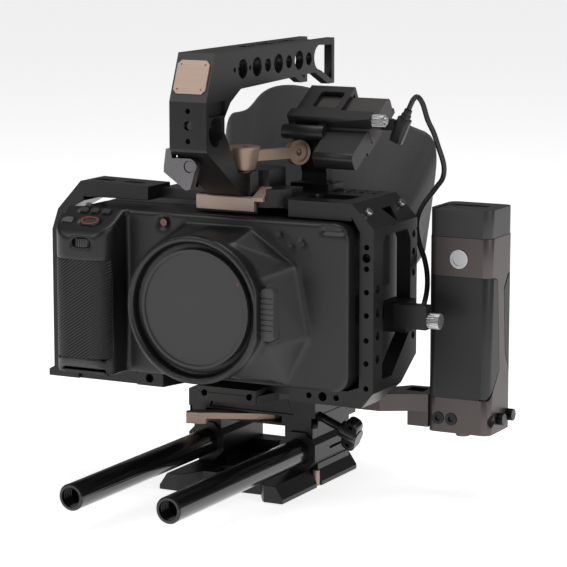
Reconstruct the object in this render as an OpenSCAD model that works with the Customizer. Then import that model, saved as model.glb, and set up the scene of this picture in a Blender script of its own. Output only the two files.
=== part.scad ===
// Cinema camera rig: a camera in a full cage, with a top handle, a drive holder,
// a screen hood, a powered side grip and a rod base that clamps on a tripod plate.
// Millimetres. +Z is up, the lens looks along -Y, +X is on the right seen from the front.
// The origin is the tripod hole in the underside of the base plate, below the lens axis.

/* [Camera] */
// Width of the camera body across its front
body_w = 178; // [165:1:190]
// Height of the camera body
body_h = 94; // [90:1:100]
// Depth of the camera body behind its front face
body_d = 73; // [66:1:84]
// How far the hand grip stands ahead of the front face
grip_d = 23; // [20:1:26]
// Wall of the camera's shells
shell_t = 2.5; // [2:0.1:3]
// Diameter of the lens mount housing
housing_dia = 84; // [80:1:88]
// Diameter of the body cap that covers the lens mount
cap_dia = 67; // [64:1:70]
// Distance from the mount face to the image plane
flange_depth = 44; // [40:1:46]

/* [Cage] */
// Clear gap between the camera's sides and the cage
cage_gap = 3; // [2:0.5:5]
// Thickness of the cage's side frame
cage_t = 8.5; // [7:0.5:10]
// Depth of the cage from front bar to rear bar
cage_d = 58; // [54:1:64]
// Thickness of the cage's top plate
top_t = 6; // [5:0.5:8]
// Thickness of the cage's bottom plate
bottom_t = 9; // [8:0.5:11]
// Radius of the accessory holes in the cage, tapped for quarter inch screws
accessory_r = 2.6; // [2.2:0.1:3]

/* [Top handle] */
// Length of the handle's grip bar
handle_len = 158; // [140:1:175]
// Width of the handle
handle_w = 23; // [20:1:24]
// Height of the handle's grip bar above the cage
handle_rise = 82; // [76:1:90]

/* [Rods and base] */
// Diameter of the support rods
rod_dia = 15; // [12:1:19]
// Distance between the rods' centres
rod_spacing = 60; // [54:1:66]
// Length of the rods
rod_len = 200; // [160:5:260]
// Radial clearance between a rod and its clamp
rod_fit = 0.05; // [0.03:0.01:0.09]
// Height of the rods' axis above the surface the rig stands on
rod_z = 21.5; // [21:0.5:24]
// Length of the rod clamps
clamp_len = 50; // [40:1:60]
// Width of the lower dovetail plate
plate_w = 80; // [74:1:90]
// Length of the lower dovetail plate
plate_l = 97; // [88:1:110]
// Thickness of the lower dovetail plate
plate_t = 10; // [9:0.5:11]
// Radius of the tripod thread, a quarter inch
tripod_r = 3.175; // [2.5:0.005:4.8]

/* [Side grip] */
// Width of the side grip
side_w = 38; // [34:1:44]
// Depth of the side grip
side_d = 33; // [30:1:38]
// Height of the side grip
side_h = 128; // [110:1:140]

/* [Screen hood] */
// Depth of the fabric hood behind the screen
hood_d = 55; // [50:1:60]
// Thickness of the hood's padded fabric
hood_t = 2.4; // [1.6:0.2:3]

/* [Drive] */
// Width of the solid state drive, from its socket end
drive_w = 46; // [42:1:48]
// Length of the solid state drive down its slope
drive_l = 32; // [30:0.5:33]
// Thickness of the solid state drive
drive_t = 10.5; // [8:0.5:12]
// Diameter of the data cable
cable_dia = 3; // [2.5:0.1:4]

/* [Hidden] */
$fn = 64;
slack = 0.3;
press_gap = 0.15;
button_travel = 0.8;

// Heights, from the ground up.
clamp_z0 = rod_z + 14.5;
clamp_z1 = clamp_z0 + 7;
jaw_z = clamp_z1 + 10;
quick_z0 = jaw_z + 0.8;
base_z0 = quick_z0 + 4.7;
cam_z0 = base_z0 + bottom_t + 0.5;
cam_z1 = cam_z0 + body_h;
cage_z1 = cam_z1 + 10.5;
lens_z = cam_z0 + 45;

// The camera, left to right and front to back. The lens axis is x = 0.
lens_side = 81;
cam_x1 = lens_side;
cam_x0 = lens_side - body_w;
cam_y0 = -37;
cam_y1 = cam_y0 + body_d;
split_y = -5;
grip_w = 38;
grip_x1 = cam_x0 + grip_w;
grip_y0 = cam_y0 - grip_d;
hump_y = -58;
housing_y = -67;
cap_y = housing_y + 3;
mount_y = housing_y + 7;
throat_r = 27;
mount_ring_r = 32;
cap_r = cap_dia/2;

// The sloping control deck on top of the hand grip.
deck_tilt = 33;
deck_y = -45;
deck_z = cam_z1 - 3.5;

// The deck's controls keep their places from the grip's outer side.
record_x = cam_x0 + 21.5;
still_x = cam_x0 + 7;
iso_x = cam_x0 + 13;
shutter_x = cam_x0 + 20;
balance_x = cam_x0 + 27.5;
switch_x = cam_x0 + 13.6;
rear_button_x = cam_x0 + 31;

// The control wheel in the grip's front: its axle stands upright.
dial_x = cam_x0 + 21;
dial_y = grip_y0 + 5.4;
dial_z = deck_z - 14;

// The cage.
cage_y0 = -28;
cage_y1 = cage_y0 + cage_d;
cage_x0 = cam_x1 + cage_gap;
cage_x1 = cage_x0 + cage_t;
arm_x = cam_x0 - 18;
corner_in = 13.5;
top_z0 = cage_z1 - top_t;
base_z1 = base_z0 + bottom_t;

// The top handle.
handle_z1 = cage_z1 + handle_rise;
handle_z0 = handle_z1 - 21;
handle_y0 = -70;
handle_y1 = handle_y0 + handle_len;
lever_x = 8;
lever_y = -21;
lever_z = cage_z1 + 14.4;
lever_reach = 36.7;
base_top = 14;

// The hood and its frame.
frame_t = 6;
frame_y = cam_y1 + 1;
hood_y0 = frame_y + frame_t;
hood_y1 = hood_y0 + hood_d;
frame_x0 = -54;
frame_x1 = 70;
frame_z0 = cam_z0 + 8;
frame_z1 = cam_z1 - 1;

// The drive, tilted about the middle of its top rear edge.
drive_tilt = 31;
drive_x1 = 68;
drive_y1 = 44;
drive_z1 = cage_z1 + 52.7;

// The side grip.
side_x0 = 103;
side_y0 = 22;
side_z0 = 38;
side_z1 = side_z0 + side_h;
cap_z0 = side_z1 - 16;
foot_h = 20;

// The port clamp on the side of the cage.
port_z0 = 96.5;
port_z1 = 114;

// The cable leaves the drive's plug, arches over and runs down behind the cage's rear
// bar, then forward into the plug at the camera's port.
cable_route = [
    [83.8, 36, 218.9], [85, 36.2, 221.8], [86.6, 36.6, 225], [88.8, 37.2, 226.4],
    [91.6, 38, 222.5], [94.1, 39.5, 213.4], [97.2, 41, 206.1], [99.1, 42.5, 199.2],
    [101.9, 45, 187.7], [101, 46, 180.1], [97.3, 46, 174.7], [94, 45, 170], [90.5, 42.5, 164],
    [88.5, 40.5, 158], [88.5, 38.5, 151], [91, 36.5, 143], [94.5, 35.5, 135], [97, 34, 127],
    [99, 30, 119], [99.5, 25.5, 111.5], [99.5, 20.5, 107]
];
cable_sides = 8;
cable_rings = 3;

// ---- Shared shapes ----

// A box given by its lowest and highest corners.
module span(a, b) translate(a) cube(b - a);

// A rectangle with round corners, from one corner to the other.
module round_rect(a, b, r) {
    translate([a[0] + r, a[1]]) square([b[0] - a[0] - 2*r, b[1] - a[1]]);
    translate([a[0], a[1] + r]) square([b[0] - a[0], b[1] - a[1] - 2*r]);
    for (x = [a[0] + r, b[0] - r], y = [a[1] + r, b[1] - r])
        translate([x, y]) circle(r);
}

// A slot with round ends, w long and t wide, about the origin.
module stadium(w, t) {
    square([w - t, t], center = true);
    for (s = [-1, 1]) translate([s*(w - t)/2, 0]) circle(t/2);
}

// Extrudes an outline drawn in X and Z from y0 to y1.
module along_y(y0, y1) translate([0, y1, 0]) rotate([90, 0, 0]) linear_extrude(y1 - y0) children();

// Extrudes an outline drawn in Y and Z from x0 to x1.
module along_x(x0, x1)
    translate([x0, 0, 0]) rotate([90, 0, 90]) linear_extrude(x1 - x0) children();

// Extrudes an outline drawn in X and Y from z0 to z1.
module along_z(z0, z1) translate([0, 0, z0]) linear_extrude(z1 - z0) children();

// A cylinder along Y through (x, z), from y0 to y1.
module rod_y(x, z, y0, y1, r) translate([x, y1, z]) rotate([90, 0, 0]) cylinder(r = r, h = y1 - y0);

// A cylinder along X through (y, z), from x0 to x1.
module rod_x(y, z, x0, x1, r) translate([x0, y, z]) rotate([0, 90, 0]) cylinder(r = r, h = x1 - x0);

// A box along X, Y or Z with round edges, extruded through its shortest side.
module slab_y(a, b, r) along_y(a[1], b[1]) round_rect([a[0], a[2]], [b[0], b[2]], r);
module slab_z(a, b, r) along_z(a[2], b[2]) round_rect([a[0], a[1]], [b[0], b[1]], r);
module slab_x(a, b, r) along_x(a[0], b[0]) round_rect([a[1], a[2]], [b[1], b[2]], r);

// A socket screw head: a cylinder with a six-sided socket, along +Z from the origin.
module socket_head(r, h, socket_r) difference() {
    cylinder(r = r, h = h);
    translate([0, 0, h/2]) cylinder(r = socket_r, h = h, $fn = 6);
}

// A knurled knob: a cylinder with grooves round it, along +Z from the origin.
module knurled(r, h, grooves = 18) difference() {
    cylinder(r = r, h = h);
    for (i = [0 : grooves - 1]) rotate([0, 0, i*360/grooves])
        translate([r + 0.25, 0, -1]) cylinder(r = 0.75, h = h + 2, $fn = 4);
}

// ---- Camera shells ----

// The control deck's own axes: the origin is on the deck, +Z is its normal.
module on_deck(x, along = 0) translate([x, deck_y, deck_z]) rotate([deck_tilt, 0, 0])
    translate([0, along, 0]) children();

// The hand grip's outline seen from the side, with its sloping deck.
module grip_side(inset) polygon([
    [cam_y0 + 1, cam_z0 + inset],
    [grip_y0 + 6, cam_z0 + inset],
    [grip_y0 + inset, cam_z0 + 8],
    [grip_y0 + inset, deck_z - 11 - inset],
    [grip_y0 + 3 + inset, deck_z - 7 - inset*1.2],
    [cam_y0 + 1, deck_z + 5 - inset*1.2]
]);

// The hand grip's outline seen from above.
module grip_plan(inset) {
    round_rect([cam_x0 + inset, grip_y0 + inset], [grip_x1 - inset, cam_y0 + 20], 12 - inset);
    translate([cam_x0 + inset, cam_y0]) square([grip_w - 2*inset, 12]);
}

module hand_grip(inset = 0) intersection() {
    along_x(cam_x0, grip_x1) grip_side(inset);
    along_z(cam_z0, cam_z1) grip_plan(inset);
}

// The faceted hump that carries the lens mount: eight sides, narrower at the front.
module mount_hump() {
    front = 38;
    back_x = 50;
    back_z = 43;
    hull() {
        along_y(hump_y - 0.01, hump_y) translate([0, lens_z])
            polygon([for (s = [[-0.55, 1], [0.55, 1], [1, 0.5], [1.12, -0.5], [0.55, -1],
                [-0.55, -1], [-1, -0.5], [-1, 0.5]]) front*s]);
        along_y(cam_y0, cam_y0 + 0.01) translate([0, lens_z]) polygon([
            [-20, back_z], [22, back_z], [back_x, 24], [back_x + 8, -16],
            [back_x - 6, -back_z], [-back_x + 14, -back_z], [-back_x + 4, -20],
            [-back_x + 6, 24]]);
    }
}

module deck_pocket(x, along, w, t) on_deck(x, along) translate([0, 0, -4])
    linear_extrude(8) stadium(w + 2*press_gap, t + 2*press_gap);

module camera_front_shell() color([0.17, 0.17, 0.18]) difference() {
    union() {
        slab_y([cam_x0, cam_y0, cam_z0], [cam_x1, split_y, cam_z1], 9);
        hand_grip();
        mount_hump();
        rod_y(0, lens_z, housing_y + 1, cam_y0 + 1, housing_dia/2);
        rod_y(0, lens_z, housing_y, cam_y0, housing_dia/2 - 1);
    }
    // The hollow behind the front face and inside the grip.
    difference() {
        slab_y([cam_x0 + shell_t, cam_y0 + shell_t, cam_z0 + shell_t],
            [cam_x1 - shell_t, split_y + 1, cam_z1 - shell_t], 7);
        along_x(cam_x0, grip_x1 + 4)
            polygon([[cam_y0, deck_z - 8], [cam_y0, cam_z1], [-20, cam_z1], [-20, deck_z - 8]]);
    }
    slab_y([cam_x0 + shell_t, grip_y0 + shell_t, cam_z0 + 8],
        [grip_x1 - shell_t, cam_y0 + 4, deck_z - 26], 6);
    // The lens mount: cap recess, ring seat and throat.
    rod_y(0, lens_z, housing_y - 1, mount_y, housing_dia/2 - 4);
    rod_y(0, lens_z, housing_y, mount_y + 3, mount_ring_r);
    rod_y(0, lens_z, housing_y, cam_y0 + 5, throat_r);
    // Controls on the deck.
    deck_pocket(record_x, -5.5, 12, 7);
    deck_pocket(still_x, -5.5, 6.6, 4.2);
    for (x = [iso_x, shutter_x, balance_x]) deck_pocket(x, 4, 5.4, 3.4);
    deck_pocket(switch_x + 2.4, 8.6, 8.5, 2.6);
    // The front wheel's slot, leaving its axle.
    difference() {
        span([dial_x - 6, grip_y0 - 1, dial_z - 2.6], [dial_x + 6, dial_y + 8.6, dial_z + 2.6]);
        translate([dial_x, dial_y, dial_z - 4]) cylinder(r = 1.5, h = 8);
    }
    // Lens release, tally lamp, vents, microphone slot and lower slot.
    slab_y([40 - press_gap, hump_y - 12, lens_z - 15], [48 + press_gap, hump_y + 6, lens_z + 15], 3);
    rod_y(-35, cam_z1 - 6, cam_y0 - 1, cam_y0 + shell_t - 0.5, 4);
    for (i = [0 : 3]) translate([41 + 4.6*i, cam_y0, lens_z + 38 - 1.2*i]) rotate([0, -27, 0])
        slab_y([-1.1, -20, -6], [1.1, 1.6, 6], 1);
    slab_y([64, cam_y0 - 1, cam_z1 - 6], [80, cam_y0 + 1.5, cam_z1 - 1.5], 2);
    slab_y([24, cam_y0 - 25, cam_z0 + 3], [38, cam_y0 + 1, cam_z0 + 4.2], 0.5);
    // The battery's opening underneath, and the rubber's seat.
    slab_z([cam_x0 + 5, grip_y0 + 4, cam_z0 - 1], [grip_x1 - 3, cam_y0 + 6.5, cam_z0 + 10], 2);
    rubber_seat();
}

// The shallow recess round the grip's front and outer side that the rubber fills.
module rubber_seat(gap = 0) difference() {
    intersection() {
        along_z(cam_z0 + 10 + gap, deck_z - 24 - gap) grip_plan(0);
        span([cam_x0 - 1, grip_y0 - 1, cam_z0], [grip_x1 - 1 - gap, cam_y0 - 4 - gap, cam_z1]);
    }
    along_z(cam_z0, cam_z1) grip_plan(1.2 - gap);
}

module camera_rear_shell() color([0.17, 0.17, 0.18]) difference() {
    slab_y([cam_x0, split_y, cam_z0], [cam_x1, cam_y1, cam_z1], 9);
    slab_y([cam_x0 + shell_t, split_y - 1, cam_z0 + shell_t],
        [cam_x1 - shell_t, cam_y1 - 5, cam_z1 - shell_t], 7);
    slab_y([frame_x0 + 6, cam_y1 - 3, frame_z0 + 4], [frame_x1 - 6, cam_y1 + 1, frame_z1 - 4], 2);
    for (z = [122, 104]) rod_y(rear_button_x, z, cam_y1 - 3, cam_y1 + 1, 4 + press_gap);
    for (i = [0 : 5]) slab_z([-20 + 9*i, 5, cam_z0 - 1], [-15 + 9*i, 25, cam_z0 + 1.5], 2);
}

module grip_rubber() color([0.13, 0.13, 0.13]) rubber_seat(0.05);

module lens_mount_ring() color([0.75, 0.75, 0.76]) difference() {
    rod_y(0, lens_z, mount_y, mount_y + 3, mount_ring_r);
    rod_y(0, lens_z, mount_y - 1, mount_y + 4, throat_r + 1);
    for (a = [45 : 90 : 315]) rod_y(30*cos(a), lens_z + 30*sin(a), mount_y - 1, mount_y + 1, 1);
}

module image_sensor() {
    plane_y = mount_y + flange_depth;
    color([0.1, 0.16, 0.14]) span([-19, plane_y, lens_z - 15], [19, plane_y + 3, lens_z + 15]);
    color([0.25, 0.3, 0.42]) span([-12, plane_y - 1.5, lens_z - 8], [12, plane_y, lens_z + 8]);
}

fan_x = 52;
fan_z = 118;

module main_board() {
    color([0.1, 0.3, 0.18]) span([-50, -9, cam_z0 + 10], [74, -7.4, cam_z1 - 10]);
    color([0.12, 0.12, 0.12]) for (x = [-36, -8, 20]) span([x, -7.4, 96], [x + 16, -5.4, 112]);
    color([0.6, 0.6, 0.6]) rod_y(fan_x, fan_z, -7.4, 16, 1.5);
}

module cooling_fan() color([0.2, 0.2, 0.2]) difference() {
    union() {
        rod_y(fan_x, fan_z, 6, 14, 6);
        for (i = [0 : 6]) translate([fan_x, 6.5, fan_z]) rotate([0, i*360/7, 0])
            rotate([0, 0, 12]) span([4, 0, -0.6], [18, 6, 0.6]);
    }
    rod_y(fan_x, fan_z, 5, 15, 1.55);
}

module camera_battery() color([0.12, 0.12, 0.13])
    slab_z([cam_x0 + 6, grip_y0 + 5, cam_z0 + 4], [grip_x1 - 4, cam_y0 + 2, cam_z0 + 55], 2);

// ---- Camera covers and controls ----

module body_cap() color([0.24, 0.24, 0.24]) difference() {
    union() {
        rod_y(0, lens_z, cap_y, mount_y - 0.05, cap_r);
        rod_y(0, lens_z, mount_y - 1, mount_y + 8, throat_r - 0.6);
    }
    rod_y(0, lens_z, cap_y - 1, cap_y + 0.9, cap_r - 1.6);
    rod_y(0, lens_z, mount_y, mount_y + 9, throat_r - 3);
}

module lens_release_button() color([0.15, 0.15, 0.15]) difference() {
    slab_y([40, hump_y - 3.5, lens_z - 14.6], [48, hump_y + 3, lens_z + 14.6], 2.8);
    for (z = [-9 : 3 : 9]) span([39, hump_y - 4, lens_z + z], [49, hump_y - 3, lens_z + z + 0.8]);
}

module deck_button(x, along, w, t, proud) on_deck(x, along) translate([0, 0, -2.4])
    linear_extrude(2.4 + proud) stadium(w, t);

module record_button() color([0.3, 0.12, 0.12]) difference() {
    deck_button(record_x, -5.5, 12, 7, 1);
    on_deck(record_x, -5.5) translate([0, 0, 0.6]) linear_extrude(2) stadium(8.5, 4);
}
module still_button() color([0.6, 0.6, 0.6]) deck_button(still_x, -5.5, 6.6, 4.2, 0.8);
module iso_button() color([0.25, 0.25, 0.25]) deck_button(iso_x, 4, 5.4, 3.4, 0.7);
module shutter_button() color([0.25, 0.25, 0.25]) deck_button(shutter_x, 4, 5.4, 3.4, 0.7);
module white_balance_button() color([0.25, 0.25, 0.25]) deck_button(balance_x, 4, 5.4, 3.4, 0.7);
module power_switch() color([0.7, 0.7, 0.7]) deck_button(switch_x, 8.6, 3.6, 2.6, 0.9);

module control_dial() color([0.12, 0.12, 0.12]) translate([dial_x, dial_y, dial_z - 2.4])
    difference() {
        cylinder(r = 5.8, h = 4.8);
        translate([0, 0, -1]) cylinder(r = 1.55, h = 7);
        for (i = [0 : 23]) rotate([0, 0, 15*i]) translate([5.3, -0.35, -1]) cube([1, 0.7, 7]);
    }

module tally_lens() color([0.6, 0.1, 0.12]) {
    rod_y(-35, cam_z1 - 6, cam_y0 + 0.6, cam_y0 + shell_t - 0.5, 2.1);
}

module touch_screen() color([0.05, 0.05, 0.06])
    slab_y([frame_x0 + 6.1, cam_y1 - 3, frame_z0 + 4.1], [frame_x1 - 6.1, cam_y1, frame_z1 - 4.1], 2);

module port_door() color([0.13, 0.13, 0.13])
    slab_x([cam_x1 + press_gap, -12, 122], [cam_x1 + 1.8, 14, cam_z1 - 8], 0.8);

module battery_door() color([0.16, 0.16, 0.16])
    slab_z([cam_x0 + 5.3, grip_y0 + 4.3, cam_z0 + 0.2], [grip_x1 - 3.3, cam_y0 + 6, cam_z0 + 2], 1.8);

module rear_button(z) rod_y(rear_button_x, z, cam_y1 - 1.8, cam_y1 + 1, 4);
module menu_button() color([0.3, 0.3, 0.3]) rear_button(122);
module play_button() color([0.3, 0.3, 0.3]) rear_button(104);

// ---- Cage ----

module accessory_row_z(xs, ys, z0, z1, r = accessory_r)
    for (x = xs, y = ys) translate([x, y, z0]) cylinder(r = r, h = z1 - z0);

module cage_top_plate() color([0.16, 0.15, 0.15]) difference() {
    x1 = cage_x1 - corner_in;
    union() {
        // The plate, cut back at the front between the left pad and the handle.
        along_z(top_z0, cage_z1) polygon([
            [-50, -14], [-24, -14], [-19, cage_y0 + 3.2], [24.3, cage_y0 + 3.2],
            [33, cage_y0 + 8], [40, cage_y0], [x1, cage_y0], [x1, cage_y1], [-50, cage_y1]]);
        // The front rail on the right, and two feet that stand on the camera.
        span([40, cage_y0, cam_z1 + 1], [x1, cage_y0 + 8, top_z0 + 1]);
        span([-30, 4, cam_z1], [30, 24, top_z0 + 1]);
        span([44, 10, cam_z1], [70, 24, top_z0 + 1]);
        // The seat behind the badge, and the raised shoulder to the right of it.
        span([-19, cage_y0 + 3.2, cam_z1 + 0.5], [19, cage_y0 + 12, top_z0 + 1]);
        along_z(top_z0 + 1, cage_z1 + 4.5) polygon([[24.3, cage_y0 + 3.2], [30, cage_y0 + 4],
            [37, -18], [37, -4], [22.2, -4], [22.2, -16.5], [24.3, -16.5]]);
    }
    slab_z([42, -14, cam_z1 - 1], [70, 4, cage_z1 + 1], 4);
    slab_z([-44, -6, cam_z1 - 1], [-32, 22, cage_z1 + 1], 4);
    accessory_row_z([-38], [26], cam_z1 - 1, cage_z1 + 1, 2);
    accessory_row_z([46, 54, 62, 70], [18], top_z0 + 1, cage_z1 + 1);
    accessory_row_z([46, 54, 62, 70], [26], cam_z1 - 1, cage_z1 + 1, 1.7);
}

// The side frame's outline, with its cut-away lower rear corner.
module side_outline(inset_front, inset_rear, low, high, cut) polygon([
    [cage_y0 + inset_front, low], [cage_y1 - 34 + cut*0.3, low], [cage_y1 - inset_rear, low + 22],
    [cage_y1 - inset_rear, high - 8 + cut], [cage_y1 - inset_rear - 6 + cut, high],
    [cage_y0 + inset_front + 5 - cut, high], [cage_y0 + inset_front, high - 6 + cut]
]);

module cage_right_frame() color([0.16, 0.15, 0.15]) difference() {
    bend_z = cage_z1 - corner_in;
    union() {
        along_x(cage_x0, cage_x1) side_outline(0, 0, base_z0, bend_z + 0.01, 0);
        // The bevelled shoulder up to the top plate.
        along_y(cage_y0, cage_y1) polygon([
            [cage_x1 - corner_in, cage_z1], [cage_x1, bend_z], [cage_x1, bend_z - 6],
            [cage_x0, bend_z - 6], [cage_x0, bend_z - 2], [cage_x1 - corner_in, top_z0 - 1]]);
        // The bevelled toe down to the bottom plate.
        along_y(cage_y0, cage_y0 + 22) polygon([
            [cage_x0 + 1, base_z0 + 12], [cage_x0 - 7, base_z1], [cage_x0 - 7, base_z0],
            [cage_x1 - 8, base_z0], [cage_x1, base_z0 + 10], [cage_x1, base_z0 + 14]]);
    }
    // The window that leaves the ports open.
    along_x(cage_x0 - 1, cage_x1 + 1) side_outline(12, 9, base_z0 + 15, bend_z - 5, 1.5);
    // The outer toe's bevel along the whole frame.
    along_y(cage_y0 - 1, cage_y1 + 1)
        polygon([[cage_x1 - 8, base_z0 - 1], [cage_x1 + 1, base_z0 - 1], [cage_x1 + 1, base_z0 + 10]]);
    // Accessory holes through the front bar, from the front and from the side.
    for (z = [70, 84, 97, 111, 124, 137, 149]) rod_y(cage_x0 + 4.2, z, cage_y0 - 1, cage_y0 + 6, 1.6);
    rod_y(cage_x0 + 4.2, 143, cage_y0 - 1, cage_y0 + 5, accessory_r);
    for (z = [86, 99, 112, 125]) rod_x(cage_y0 + 6, z, cage_x0 - 1, cage_x1 + 1, accessory_r);
    // Holes down the rear bar and through the shoulder.
    for (z = [92, 128, 140, 150]) rod_x(cage_y1 - 4.5, z, cage_x0 - 1, cage_x1 + 1, 2.2);
    translate([cage_x1 - 6, cage_y0 + 33, cage_z1 - 8]) rotate([0, 45, 0])
        translate([0, 0, -12]) cylinder(r = 7, h = 24, $fn = 3);
    for (y = [cage_y0 + 7, cage_y1 - 8]) translate([cage_x1 - 7.5, y, cage_z1 - 6])
        rotate([0, 45, 0]) translate([0, 0, -3]) cylinder(r = 2.2, h = 8);
    // The notch for the port clamp in the rear bar.
    span([cage_x0 - 1, 6, port_z0 - 0.2], [cage_x1 + 1, cage_y1 - 8.5, port_z1 + 0.2]);
}

module cage_left_arm() color([0.16, 0.15, 0.15]) {
    z1 = cage_z1 + 3;
    t = 3.6;
    difference() {
        union() {
            // The pad on top, the slanted shoulder, the thin side strip and the foot.
            along_y(cage_y0, -2) polygon([
                [-50, z1 - 9], [-50, z1 - 1], [cam_x0 + 2, z1], [arm_x + 4, cam_z1 - 4],
                [arm_x, cam_z1 - 16], [arm_x, base_z0 + 6], [arm_x - 3.5, base_z0 + 4],
                [arm_x - 3.5, base_z0], [cam_x0 - 1, base_z0], [cam_x0 - 1, base_z0 + 6],
                [arm_x + t, base_z0 + 10], [arm_x + t, cam_z1 - 17],
                [arm_x + 4 + t, cam_z1 - 6], [cam_x0 + 4, cam_z1 + 2], [cam_x0 + 4, z1 - 9]]);
        }
        // Two slots in the pad, and windows that lighten the strip.
        for (x = [cam_x0 + 11, cam_x0 + 31]) translate([x, -15, z1 - 12]) linear_extrude(20) stadium(13, 6);
        for (z = [base_z0 + 24, base_z0 + 60])
            slab_x([arm_x - 1, cage_y0 + 6, z], [arm_x + t + 1, -8, z + 26], 4);
        // The pad's underside is hollowed.
        span([cam_x0 + 8, cage_y0 + 5, z1 - 10], [-56, -7, z1 - 5]);
    }
}

module cage_base() color([0.16, 0.15, 0.15]) difference() {
    xr = cage_x0 - 7;
    along_z(base_z0, base_z1) polygon([
        [cam_x0 - 1, cage_y0 + 2], [-60, cage_y0 + 2], [-58, cage_y0], [-41, cage_y0],
        [-36, -12], [36, -12], [41, cage_y0], [xr, cage_y0], [xr, cage_y1 - 2],
        [70, cage_y1 + 4], [-46, cage_y1 + 4], [-56, 4], [cam_x0 - 1, -8]]);
    slab_z([-54, -16, base_z0 - 1], [-44, 0, base_z1 + 1], 3);
    // Holes in the front edge and from below.
    for (x = [53, 70]) rod_y(x, base_z0 + 4.5, cage_y0 - 1, cage_y0 + 8, 1.7);
    rod_y(61.5, base_z0 + 4.5, cage_y0 - 1, cage_y0 + 8, accessory_r);
    rod_y(-50, base_z0 + 4.5, cage_y0 - 1, cage_y0 + 6, accessory_r);
    accessory_row_z([52, 62, 72], [-6, 6, 18], base_z0 - 1, base_z1 + 1);
    slab_z([20, 20, base_z0 - 1], [44, 28, base_z1 + 1], 3.5);
}

// The tan front bar, with a ramp at its right end beside the handle's base.
module cage_badge() color([0.72, 0.64, 0.58]) {
    y1 = cage_y0 + 3;
    along_x(-18.5, 18.5) polygon([[cage_y0, cam_z1 + 2.4], [y1, cam_z1 + 2.4], [y1, cage_z1 - 0.1],
        [cage_y0 + 0.6, cage_z1 - 0.1], [cage_y0, cage_z1 - 0.7]]);
    along_x(17.3, 24) polygon([[cage_y0, cage_z1 - 2.4], [y1, cage_z1 - 2.4], [y1, cage_z1 + 0.1],
        [-16.8, cage_z1 + 0.1], [-16.8, cage_z1 + 5], [cage_y0, cage_z1 - 0.1]]);
}

module cage_screws() color([0.75, 0.75, 0.75]) {
    for (y = [cage_y0 + 7, cage_y1 - 8]) translate([cage_x1 - 7.5, y, cage_z1 - 6])
        rotate([0, 45, 0]) translate([0, 0, 0.2]) socket_head(2.15, 2.6, 1.2);
    translate([-38, 26, cage_z1 - 3]) socket_head(1.95, 3, 1.1);
}

// ---- Top handle ----

// The post, its slanted face, the grip bar and the rear flange, seen from the side.
module handle_side() polygon([
    [-27, cage_z1], [-69, cage_z1 + 28.5], [handle_y0, cage_z1 + 30],
    [handle_y0, cage_z1 + 56], [handle_y0 + face_run, handle_z1], [handle_y1, handle_z1],
    [handle_y1, handle_z0 - 6], [handle_y1 - 8, handle_z0 - 6], [handle_y1 - 26, handle_z0 + 2],
    [-30, handle_z0 - 0.5], [-42, handle_z0 - 7], [-49, cage_z1 + 46], [-49, cage_z1 + 38],
    [-36, cage_z1 + 18], [-33, cage_z1 + base_top], [10, cage_z1 + base_top], [10, cage_z1]]);

face_run = 10.5;
eye_z = handle_z1 - 10.5;
clamp_x = -1;
clamp_y = -64;
clamp_z = cage_z1 + 20.3;

module handle_body() {
    half = handle_w/2;
    color([0.15, 0.15, 0.15]) difference() {
        union() {
            along_x(-half, half) handle_side();
            // The base that clamps on the cage, and the lever's boss.
            along_z(cage_z1, cage_z1 + base_top) polygon([
                [-19, -24], [14, -24], [17, -20], [17, -16.4], [22, -16.4], [22, 4], [16, 10],
                [-19, 10]]);
            translate([lever_x, lever_y, cage_z1 + base_top - 1])
                cylinder(r = 7, h = lever_z - cage_z1 - base_top + 1);
        }
        // The channel down the middle of the bar, open below, and the fork at the rear.
        span([-half + 5, -30, handle_z0 - 10], [half - 5, handle_y1 - 5, handle_z1 - 5]);
        span([-half + 5, handle_y1 - 22, handle_z0 - 10], [half - 5, handle_y1 + 1, handle_z1 + 1]);
        // Long and short slots in the bar's top, over its rear half.
        for (y = [-2, 24, 50]) translate([0, y, handle_z1 - 8]) rotate([0, 0, 90])
            linear_extrude(10) stadium(14, 6);
        for (y = [11, 37]) translate([0, y, handle_z1 - 8]) rotate([0, 0, 90])
            linear_extrude(10) stadium(8, 6);
        // The row of large, small and tiny round holes through both cheeks.
        for (y = [-27.5, -10.6, 15.7, 41.6]) rod_x(y, eye_z, -half - 1, half + 1, 5.5);
        for (y = [2.6, 28.8, 54.2]) rod_x(y, eye_z, -half - 1, half + 1, 3.8);
        for (y = [-37, -19]) rod_x(y, eye_z, -half - 1, half + 1, 1.4);
        // The large eye at the rear, drawn out to the rear corners.
        along_x(-half - 1, half + 1) {
            translate([handle_y1 - 19.4, eye_z]) circle(7.3);
            polygon([[handle_y1 - 19.4, eye_z - 7.3], [handle_y1 - 3.5, eye_z - 14],
                [handle_y1 - 3.5, eye_z + 6.5], [handle_y1 - 18, eye_z + 7.1]]);
        }
        // The round eye through the post, and a shallow pocket over it on each side.
        rod_x(-58.7, cage_z1 + 39, -half - 1, half + 1, 8.2);
        for (m = [0, 1]) mirror([m, 0, 0])
            span([half - 2.5, -67, cage_z1 + 47.6], [half + 1, -48, cage_z1 + 55.5]);
        // Three holes in the front face; the middle one goes right through.
        for (z = [cage_z1 + 34.5, cage_z1 + 51]) rod_y(0, z, handle_y0 - 1, handle_y0 + 6, 1.5);
        rod_y(0, cage_z1 + 43, handle_y0 - 1, -40, accessory_r);
        // The lever's tapped hole and the clamp's bore.
        translate([lever_x, lever_y, lever_z - 10]) cylinder(r = 2.5, h = 12);
        rod_y(clamp_x, clamp_z, clamp_y + 1, clamp_y + 14, 2.05);
        span([-half - 1, handle_y0 - 1, cage_z1 + 13], [6, clamp_y + 2.8, cage_z1 + 26]);
    }
}

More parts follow.
